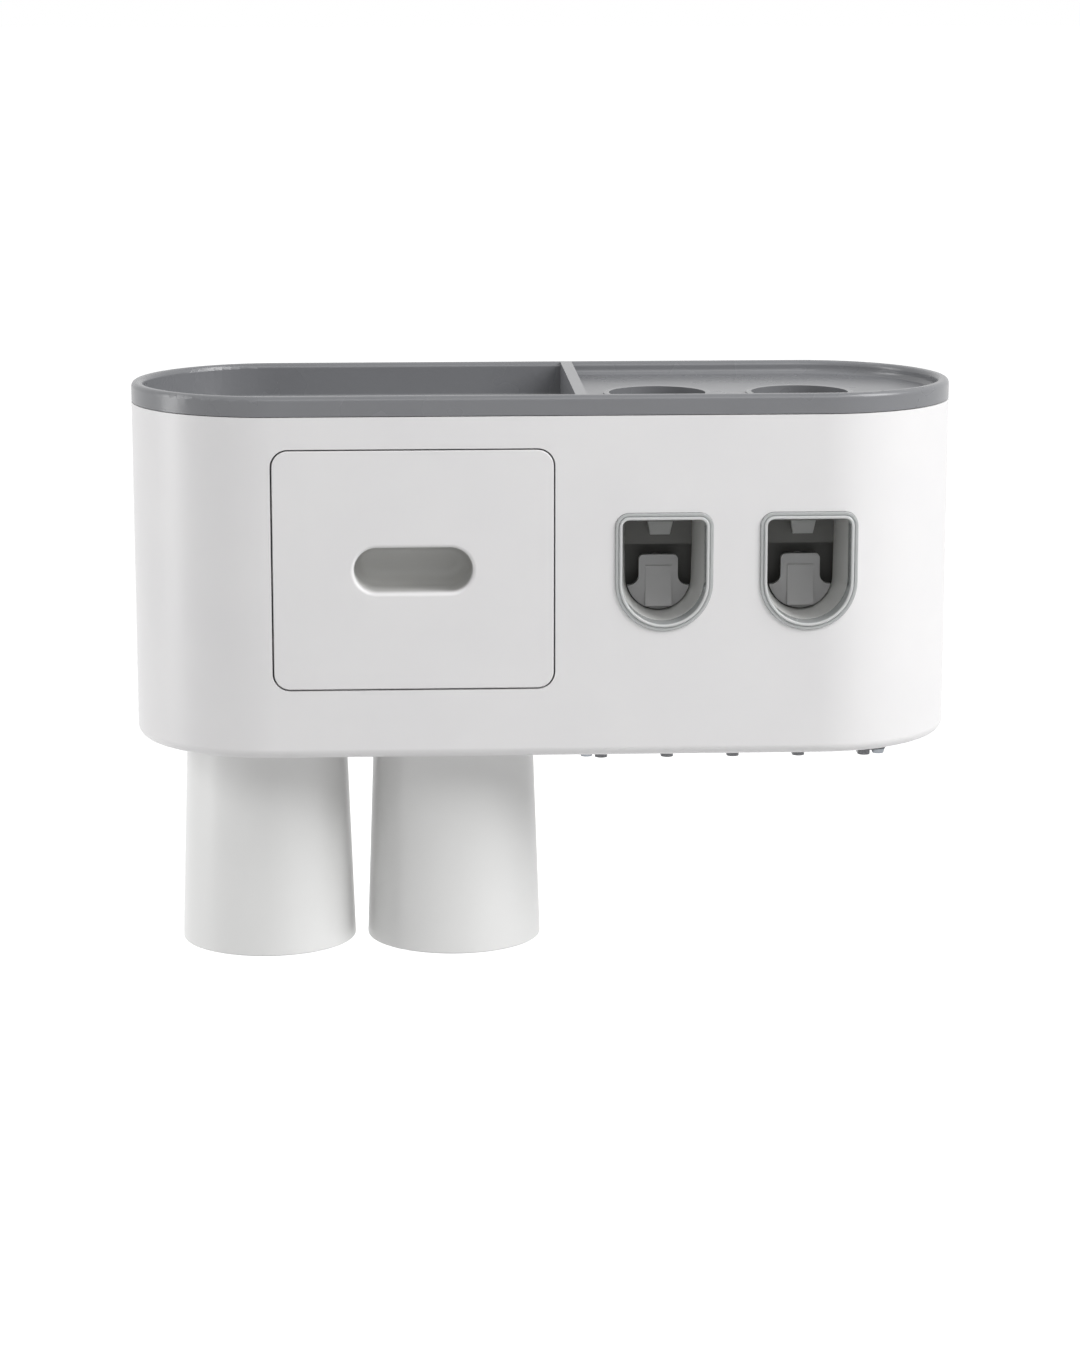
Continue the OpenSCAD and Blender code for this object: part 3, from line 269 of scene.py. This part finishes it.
def applyPlace(piece):
    bpy.ops.object.select_all(action="DESELECT")
    bpy.context.view_layer.objects.active = piece
    piece.select_set(True)
    bpy.ops.object.transform_apply(location=True, rotation=True, scale=True)


def applyModifier(piece, kind, **settings):
    bpy.ops.object.select_all(action="DESELECT")
    bpy.context.view_layer.objects.active = piece
    piece.select_set(True)
    modifier = piece.modifiers.new(kind, kind)
    for key, value in settings.items():
        setattr(modifier, key, value)
    bpy.ops.object.modifier_apply(modifier=modifier.name)


def finishPiece(piece, name, nodeName, smooth=35):
    # smooths the piece, gives it its finish, and puts it on the body of the node that it stands for
    bpy.ops.object.select_all(action="DESELECT")
    bpy.context.view_layer.objects.active = piece
    piece.select_set(True)
    bpy.ops.object.shade_smooth_by_angle(angle=math.radians(smooth))
    applyModifier(piece, "WEIGHTED_NORMAL", keep_sharp=True)
    piece.name = name
    piece.data.name = name
    slot = slotOf[nodeName]
    piece.data.materials.clear()
    piece.data.materials.append(materials[slot])
    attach(piece, bodyOf[nodeName])
    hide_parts(nodeName)
    low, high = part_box(nodeName)
    growth = max(max(v.co[axis] - high[axis], low[axis] - v.co[axis])
                 for v in piece.data.vertices for axis in range(3))
    if growth > 0.02 * mm:
        print(name, "reaches past its node by", round(growth / mm, 3), "mm")


def joinPieces(piece, *others):
    bpy.ops.object.select_all(action="DESELECT")
    for each in (piece, *others):
        each.select_set(True)
    bpy.context.view_layer.objects.active = piece
    bpy.ops.object.join()


def addOutline(width, height, lowRadius, highRadius, centre, segments=12):
    # flat face that looks forward, with round corners
    bpy.ops.object.select_all(action="DESELECT")
    bpy.ops.mesh.primitive_plane_add(size=1, location=centre, rotation=(math.radians(90), 0, 0))
    piece = bpy.context.active_object
    piece.scale = (width, height, 1)
    applyPlace(piece)
    middle = centre[2]
    halfHeight = height / 2
    # a full round stops a hair short, and its two ends are then merged
    most = 0.4999 * min(width, height)
    for radius, side in ((min(highRadius, most), 1), (min(lowRadius, most), -1)):
        pickVertices(piece, lambda co: (co.z - middle) * side > 0.999 * halfHeight)
        bpy.ops.mesh.bevel(offset=radius, affect="VERTICES", segments=segments, profile=0.5)
        bpy.ops.mesh.select_all(action="SELECT")
        bpy.ops.mesh.remove_doubles(threshold=0.05 * mm)
        objectMode()
    return piece


def mergedCopy(nodeName, pieceName):
    # the CAD node's own mesh, with its loose triangles joined
    mesh = frame["nodes"][nodeName].data.copy()
    piece = bpy.data.objects.new(pieceName, mesh)
    bpy.context.scene.collection.objects.link(piece)
    editMode(piece)
    bpy.ops.mesh.select_all(action="SELECT")
    bpy.ops.mesh.customdata_custom_splitnormals_clear()
    bpy.ops.mesh.remove_doubles(threshold=0.002 * mm)
    bpy.ops.mesh.dissolve_limited(angle_limit=math.radians(0.5))
    objectMode()
    return piece


def softCopy(nodeName, pieceName, width, segments):
    # merged copy of a CAD node, with its sharp edges broken as a mould leaves them
    piece = mergedCopy(nodeName, pieceName)
    applyModifier(piece, "BEVEL", width=width * mm, segments=segments, limit_method="ANGLE",
                  angle_limit=math.radians(sharpAngle), miter_outer="MITER_ARC", use_clamp_overlap=True)
    finishPiece(piece, pieceName, nodeName)


# Clear rings round the windows

bezel = {
    "topRadius": 5.4,
    "flangeDepth": 3.0,
    "proud": 1.4,
    "sleeveStep": 1.4,
    # across the face, from the outer edge in: how far inwards and how far forwards each step goes
    "flange": [(0.08, 0.16), (0.14, 0.12), (0.22, 0.05), (0.62, 0.0), (0.14, -0.10), (0.14, -0.22),
               (0.06, 0.0)],
    "lip": [(0.08, 0.34), (0.12, 0.30), (0.16, 0.16), (0.24, 0.08), (0.28, 0.0), (0.22, -0.10),
            (0.18, -0.28), (0.12, -0.6)],
}


def clearRing(side):
    nodeName = "bezel_" + side
    low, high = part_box(nodeName)
    width = high.x - low.x
    height = high.z - low.z
    steps = bezel["flange"] + bezel["lip"]
    reach = sum(step[1] for step in steps)
    back = low.y + (bezel["proud"] + bezel["flangeDepth"]) * mm
    top = bezel["flangeDepth"] + bezel["proud"] - max(
        sum(step[1] for step in steps[:i + 1]) for i in range(len(steps)))
    piece = addOutline(width, height, width / 2, bezel["topRadius"] * mm,
                       ((low.x + high.x) / 2, back, (low.z + high.z) / 2), segments=16)
    editMode(piece, "FACE")
    bpy.ops.mesh.select_all(action="SELECT")
    bpy.ops.mesh.extrude_region_move(TRANSFORM_OT_translate={"value": (0, -top * mm, 0)})
    for inward, forward in steps:
        bpy.ops.mesh.inset(thickness=inward * mm, depth=forward * mm)
    # inner wall, back to the end of the sleeve
    inner = high.y - (back - (top + reach) * mm)
    bpy.ops.mesh.extrude_region_move(TRANSFORM_OT_translate={"value": (0, inner, 0)})
    objectMode()
    pickFaces(piece, lambda centre, normal: normal.y > 0.9 and abs(centre.y - back) < touch)
    bpy.ops.mesh.inset(thickness=bezel["sleeveStep"] * mm, depth=0)
    bpy.ops.mesh.extrude_region_move(TRANSFORM_OT_translate={"value": (0, high.y - back, 0)})
    bpy.ops.mesh.inset(thickness=(sum(s[0] for s in steps) - bezel["sleeveStep"]) * mm, depth=0)
    objectMode()
    pickFaces(piece, lambda centre, normal: abs(centre.y - high.y) < touch and abs(
        centre.x - (low.x + high.x) / 2) < 0.5 * mm and abs(centre.z - (low.z + high.z) / 2) < 6 * mm)
    bpy.ops.mesh.delete(type="FACE")
    bpy.ops.mesh.select_all(action="SELECT")
    bpy.ops.mesh.remove_doubles(threshold=0.02 * mm)
    bpy.ops.mesh.normals_make_consistent(inside=False)
    objectMode()
    finishPiece(piece, "clear_ring_" + side, nodeName, smooth=50)


for side in sides:
    clearRing(side)
print("clear rings done")

# Drawer front with the closed pocket behind its finger slot

drawerFront = {
    "cornerRadius": 6.3,
    "thickness": 3.0,
    "slotWidth": 46.0,
    "slotHeight": 17.6,
    "pocketDepth": 22.0,
    "pocketWall": 1.5,
    "scoop": 6.0,
    "edge": 0.45,
    "lip": 1.4,
    "floorEdge": 0.8,
    # painted shade: the inside of the pocket is painted greyer with depth, standing in for the shade in
    # the recess
    # the pocket turns greyer than the face, a tone set because its own white rendered too
    # bright: from and to, in mm behind the face
    "pocketShadeFade": (2.5, 6.0),
    "pocketPaintedShade": "#cfcfcd",
}


def drawerPanel():
    low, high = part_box("drawer_front")
    back = low.y + drawerFront["thickness"] * mm
    floor = low.y + drawerFront["pocketDepth"] * mm
    wall = drawerFront["pocketWall"] * mm
    width = drawerFront["slotWidth"] * mm
    height = drawerFront["slotHeight"] * mm
    radius = drawerFront["cornerRadius"] * mm
    centre = ((low.x + high.x) / 2, back, (low.z + high.z) / 2)

    def slotReach(co):
        # distance from the slot's middle line, which stops where its round ends begin
        past = max(abs(co.x - centre[0]) - (width - height) / 2, 0)
        return math.hypot(past, co.z - centre[2])

    def onLoop(co, depth, reach):
        return abs(co.y - depth) < touch and abs(slotReach(co) - reach) < 0.1 * mm

    # flat ring round the slot, as wide as the pocket's wall, then out to the panel's outline
    piece = addOutline(width + 2 * wall, height + 2 * wall, height / 2 + wall, height / 2 + wall, centre)
    editMode(piece, "FACE")
    bpy.ops.mesh.select_all(action="SELECT")
    bpy.ops.mesh.inset(thickness=wall, depth=0)
    bpy.ops.mesh.delete(type="ONLY_FACE")
    objectMode()
    panel = addOutline(high.x - low.x, high.z - low.z, radius, radius, centre)
    editMode(panel, "FACE")
    bpy.ops.mesh.select_all(action="SELECT")
    bpy.ops.mesh.delete(type="ONLY_FACE")
    objectMode()
    joinPieces(piece, panel)
    pickEdges(piece, lambda co: slotReach(co) > height / 2 + wall - 0.1 * mm)
    bpy.ops.mesh.bridge_edge_loops()
    bpy.ops.mesh.select_all(action="SELECT")
    bpy.ops.mesh.normals_make_consistent(inside=False)
    bpy.ops.mesh.extrude_region_move(TRANSFORM_OT_translate={"value": (0, low.y - back, 0)})
    bpy.ops.mesh.select_all(action="SELECT")
    bpy.ops.mesh.normals_make_consistent(inside=False)
    objectMode()

    # the pocket's wall, back to its floor, and the floor's two faces
    pickFaces(piece, lambda middle, normal: normal.y > 0.9 and slotReach(middle) < height / 2 + wall)
    bpy.ops.mesh.extrude_region_move(TRANSFORM_OT_translate={"value": (0, floor - back, 0)})
    bpy.ops.mesh.delete(type="FACE")
    objectMode()
    pickEdges(piece, lambda co: onLoop(co, floor, height / 2 + wall))
    bpy.ops.mesh.extrude_region_move(TRANSFORM_OT_translate={"value": (0, wall, 0)})
    bpy.ops.mesh.edge_face_add()
    objectMode()
    pickEdges(piece, lambda co: onLoop(co, floor, height / 2))
    bpy.ops.mesh.edge_face_add()
    bpy.ops.mesh.select_all(action="SELECT")
    bpy.ops.mesh.normals_make_consistent(inside=False)
    objectMode()

    bevels = (
        (drawerFront["scoop"], 10, lambda co: onLoop(co, floor, height / 2)),
        (drawerFront["lip"], 6, lambda co: onLoop(co, low.y, height / 2)),
        (drawerFront["floorEdge"], 2, lambda co: onLoop(co, floor + wall, height / 2 + wall)),
        (drawerFront["edge"], 3, lambda co: abs(co.y - low.y) < touch and slotReach(co) > height),
        (drawerFront["edge"], 2, lambda co: abs(co.y - back) < touch and slotReach(co) > height),
    )
    for size, segments, test in bevels:
        pickEdges(piece, test)
        bpy.ops.mesh.bevel(offset=size * mm, segments=segments, profile=0.5, affect="EDGES")
        objectMode()
    finishPiece(piece, "drawer_panel", "drawer_front", smooth=40)
    # painted shade inside the finger pocket, from the face's white to the shaded tone
    start, end = [low.y + depth * mm for depth in drawerFront["pocketShadeFade"]]
    pocketShadeFinish = dict(plastics["white_abs"], name="whiteMouldedABSPaintedPocketShade")
    piece.data.materials[0] = mouldedPlastic(pocketShadeFinish, (start, end, drawerFront["pocketPaintedShade"]))


drawerPanel()
print("drawer panel done")

# Rinse cups, mouth down

rinseCup = {
    "around": 128,
    "mouthRadius": 35.15,
    "baseRadius": 32.05,
    "baseEdge": 2.4,
    "wall": 2.0,
    "rim": 0.85,
    "rimZone": 0.4,
    # the foot recess: how far in it starts, how wide its step is, and how deep
    "footInset": 2.0,
    "footStep": 0.6,
    "footDepth": 0.3,
}


def cupShape(side):
    nodeName = "cup_" + side
    low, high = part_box(nodeName)
    centre = Vector(((low.x + high.x) / 2, (low.y + high.y) / 2, (low.z + high.z) / 2))
    bpy.ops.object.select_all(action="DESELECT")
    bpy.ops.mesh.primitive_cone_add(vertices=rinseCup["around"], radius1=rinseCup["mouthRadius"] * mm,
                                    radius2=rinseCup["baseRadius"] * mm, depth=high.z - low.z,
                                    end_fill_type="NGON", location=centre)
    piece = bpy.context.active_object
    applyPlace(piece)
    pickFaces(piece, lambda middle, normal: normal.z < -0.9)
    bpy.ops.mesh.delete(type="FACE")
    objectMode()
    pickEdges(piece, lambda co: abs(co.z - high.z) < touch)
    bpy.ops.mesh.bevel(offset=rinseCup["baseEdge"] * mm, segments=6, profile=0.5, affect="EDGES")
    objectMode()
    # shallow foot recess under the base, where the cup meets the holder
    pickFaces(piece, lambda middle, normal: normal.z > 0.99 and abs(middle.z - high.z) < touch)
    bpy.ops.mesh.inset(thickness=rinseCup["footInset"] * mm, depth=0)
    bpy.ops.mesh.inset(thickness=rinseCup["footStep"] * mm, depth=-rinseCup["footDepth"] * mm)
    objectMode()
    applyModifier(piece, "SOLIDIFY", thickness=rinseCup["wall"] * mm, offset=-1, use_even_offset=True)
    rimTop = low.z + rinseCup["rimZone"] * mm
    pickVertices(piece, lambda co: co.z < rimTop)
    bpy.ops.transform.resize(value=(1, 1, 0), center_override=(centre.x, centre.y, low.z))
    objectMode()
    pickEdges(piece, lambda co: co.z < rimTop)
    bpy.ops.mesh.bevel(offset=rinseCup["rim"] * mm, segments=4, profile=0.5, affect="EDGES")
    objectMode()
    finishPiece(piece, "rinse_cup_" + side, nodeName, smooth=40)


for side in sides:
    cupShape(side)
print("cups done")

# Rubber bumpers on the back

bumper = {"around": 64, "edge": 1.2, "dimple": 3.0, "dimpleStep": 0.8, "dimpleDepth": 0.6}


def rubberBumpers():
    low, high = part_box("wall_bumpers")
    radius = (high.z - low.z) / 2
    made = []
    for x in (low.x + radius, high.x - radius):
        bpy.ops.object.select_all(action="DESELECT")
        bpy.ops.mesh.primitive_cylinder_add(vertices=bumper["around"], radius=radius, depth=high.y - low.y,
                                            location=(x, (low.y + high.y) / 2, low.z + radius),
                                            rotation=(math.radians(90), 0, 0))
        piece = bpy.context.active_object
        applyPlace(piece)
        pickEdges(piece, lambda co: abs(co.y - high.y) < touch)
        bpy.ops.mesh.bevel(offset=bumper["edge"] * mm, segments=5, profile=0.5, affect="EDGES")
        objectMode()
        pickFaces(piece, lambda middle, normal: normal.y > 0.99)
        bpy.ops.mesh.inset(thickness=bumper["dimple"] * mm, depth=0)
        bpy.ops.mesh.inset(thickness=bumper["dimpleStep"] * mm, depth=-bumper["dimpleDepth"] * mm)
        objectMode()
        made.append(piece)
    joinPieces(*made)
    finishPiece(made[0], "rubber_bumpers", "wall_bumpers")


rubberBumpers()
print("bumpers done")

# Pieces whose CAD form is right, with their moulded edges broken: width of the rounding in mm

softened = [
    ("outer_shell", "shell_tub", 0.4, 3),
    ("top_tray", "tray_moulding", 0.6, 3),
    ("toothbrush_rack", "rack_moulding", 0.45, 3),
    ("wall_plate", "wall_bracket", 0.4, 2),
    ("drawer_bin", "drawer_box", 0.6, 3),
    ("drawer_frame", "drawer_runner", 0.4, 2),
    ("bay_shelf", "dispenser_shelf", 0.4, 2),
    ("adhesive_pad", "adhesive_foam", 0.15, 2),
]
for side in sides:
    softened += [
        ("push_lever_" + side, "lever_paddle_" + side, 0.4, 3),
        ("nozzle_" + side, "nozzle_beak_" + side, 0.3, 3),
        ("pump_housing_" + side, "pump_block_" + side, 0.3, 2),
    ]
for nodeName, pieceName, width, segments in softened:
    softCopy(nodeName, pieceName, width, segments)
print("softened pieces done:", len(softened))

# Return springs, rounder than the CAD coil


def springCoil(side):
    nodeName = "return_spring_" + side
    piece = mergedCopy(nodeName, "spring_coil_" + side)
    applyModifier(piece, "SUBSURF", levels=1, render_levels=1)
    finishPiece(piece, "spring_coil_" + side, nodeName, smooth=60)
    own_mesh(piece)


for side in sides:
    springCoil(side)
print("springs done")

# Floor, lamps and world

studio = {
    "floorHeight": -0.42,
    "floorSize": 40.0,
    # added to the floor's own paint for the eye, for gloss and for glass
    "floorWhite": 0.9,
    # place, size, energy in watts
    "rightSoftbox": ((1.24, -0.76, 1.06), (0.8, 1.3), 26.4),
    "leftSoftbox": ((-1.54, -0.11, 0.36), (0.5, 1.4), 11.2),
    "frontSoftbox": ((0.27, -1.63, 1.19), (1.6, 0.9), 7.2),
    "worldStrength": 0.28,
    "aim": (0.0, -0.06, -0.05),
}


def softbox(name):
    place, size, energy = studio[name]
    bpy.ops.object.light_add(type="AREA", location=place)
    lamp = bpy.context.active_object
    lamp.name = name
    lamp.data.shape = "RECTANGLE"
    lamp.data.size = size[0]
    lamp.data.size_y = size[1]
    lamp.data.energy = energy
    aim = Vector(studio["aim"]) - Vector(place)
    lamp.rotation_euler = aim.to_track_quat("-Z", "Y").to_euler()


def seenRays(tree):
    # 1 for what the eye, gloss and glass see, 0 for the light that falls on the object
    rays = addNode(tree, "ShaderNodeLightPath")
    share = addNode(tree, "ShaderNodeMath", {"operation": "MAXIMUM"},
                    {0: rays.outputs["Is Camera Ray"], 1: rays.outputs["Is Glossy Ray"]})
    return addNode(tree, "ShaderNodeMath", {"operation": "MAXIMUM"},
                   {0: share.outputs[0], 1: rays.outputs["Is Transmission Ray"]}).outputs[0]


def paleFloor():
    bpy.ops.object.select_all(action="DESELECT")
    bpy.ops.mesh.primitive_plane_add(size=studio["floorSize"], location=(0, 0, studio["floorHeight"]))
    floor = bpy.context.active_object
    floor.name = "studio_floor"
    material, tree = newMaterial("paleFloorPaint")
    part = addNode(tree, "ShaderNodeMath", {"operation": "MULTIPLY", 1: studio["floorWhite"]},
                   {0: seenRays(tree)})
    paint = addNode(tree, "ShaderNodeBsdfDiffuse", {"Color": toLinear("#d2d2d2")})
    glow = addNode(tree, "ShaderNodeEmission", {"Color": (1, 1, 1, 1)}, {"Strength": part.outputs[0]})
    both = addNode(tree, "ShaderNodeAddShader", None,
                   {0: paint.outputs["BSDF"], 1: glow.outputs["Emission"]})
    # the floor's underside is clear, so that the rack and the cups can be looked at from below
    under = addNode(tree, "ShaderNodeNewGeometry")
    clear = addNode(tree, "ShaderNodeBsdfTransparent", {"Color": (1, 1, 1, 1)})
    oneSided = addNode(tree, "ShaderNodeMixShader", None,
                       {0: under.outputs["Backfacing"], 1: both.outputs["Shader"],
                        2: clear.outputs["BSDF"]})
    addNode(tree, "ShaderNodeOutputMaterial", None, {"Surface": oneSided.outputs["Shader"]})
    floor.data.materials.append(material)


def paleWorld():
    world = bpy.data.worlds.new("paleRoom")
    bpy.context.scene.world = world
    world.use_nodes = True
    tree = world.node_tree
    tree.nodes.clear()
    white = addNode(tree, "ShaderNodeBackground", {"Color": (1, 1, 1, 1), "Strength": 1.0})
    fill = addNode(tree, "ShaderNodeBackground", {"Color": (1, 1, 1, 1),
                                                  "Strength": studio["worldStrength"]})
    mix = addNode(tree, "ShaderNodeMixShader", None,
                  {0: seenRays(tree), 1: fill.outputs["Background"], 2: white.outputs["Background"]})
    addNode(tree, "ShaderNodeOutputWorld", None, {"Surface": mix.outputs["Shader"]})


for name in ("rightSoftbox", "leftSoftbox", "frontSoftbox"):
    softbox(name)
paleFloor()
paleWorld()
bpy.context.scene.view_settings.view_transform = "Standard"

# Camera, from a fit of the body's edges in the photograph

view = {
    "place": (-0.07333, -1.52503, 0.22300),
    "pitchDown": 11.635,
    "yawRight": 2.845,
    "focalPixels": 3701.58,
    "imageHeight": 1350,
    "sensor": 36.0,
}
bpy.ops.object.camera_add(location=view["place"], rotation=(
    math.radians(90 - view["pitchDown"]), 0, math.radians(-view["yawRight"])))
camera = bpy.context.active_object
camera.data.sensor_width = view["sensor"]
camera.data.lens = view["focalPixels"] * view["sensor"] / view["imageHeight"]
camera.data.clip_start = 0.01
bpy.context.scene.camera = camera
print("stage done")
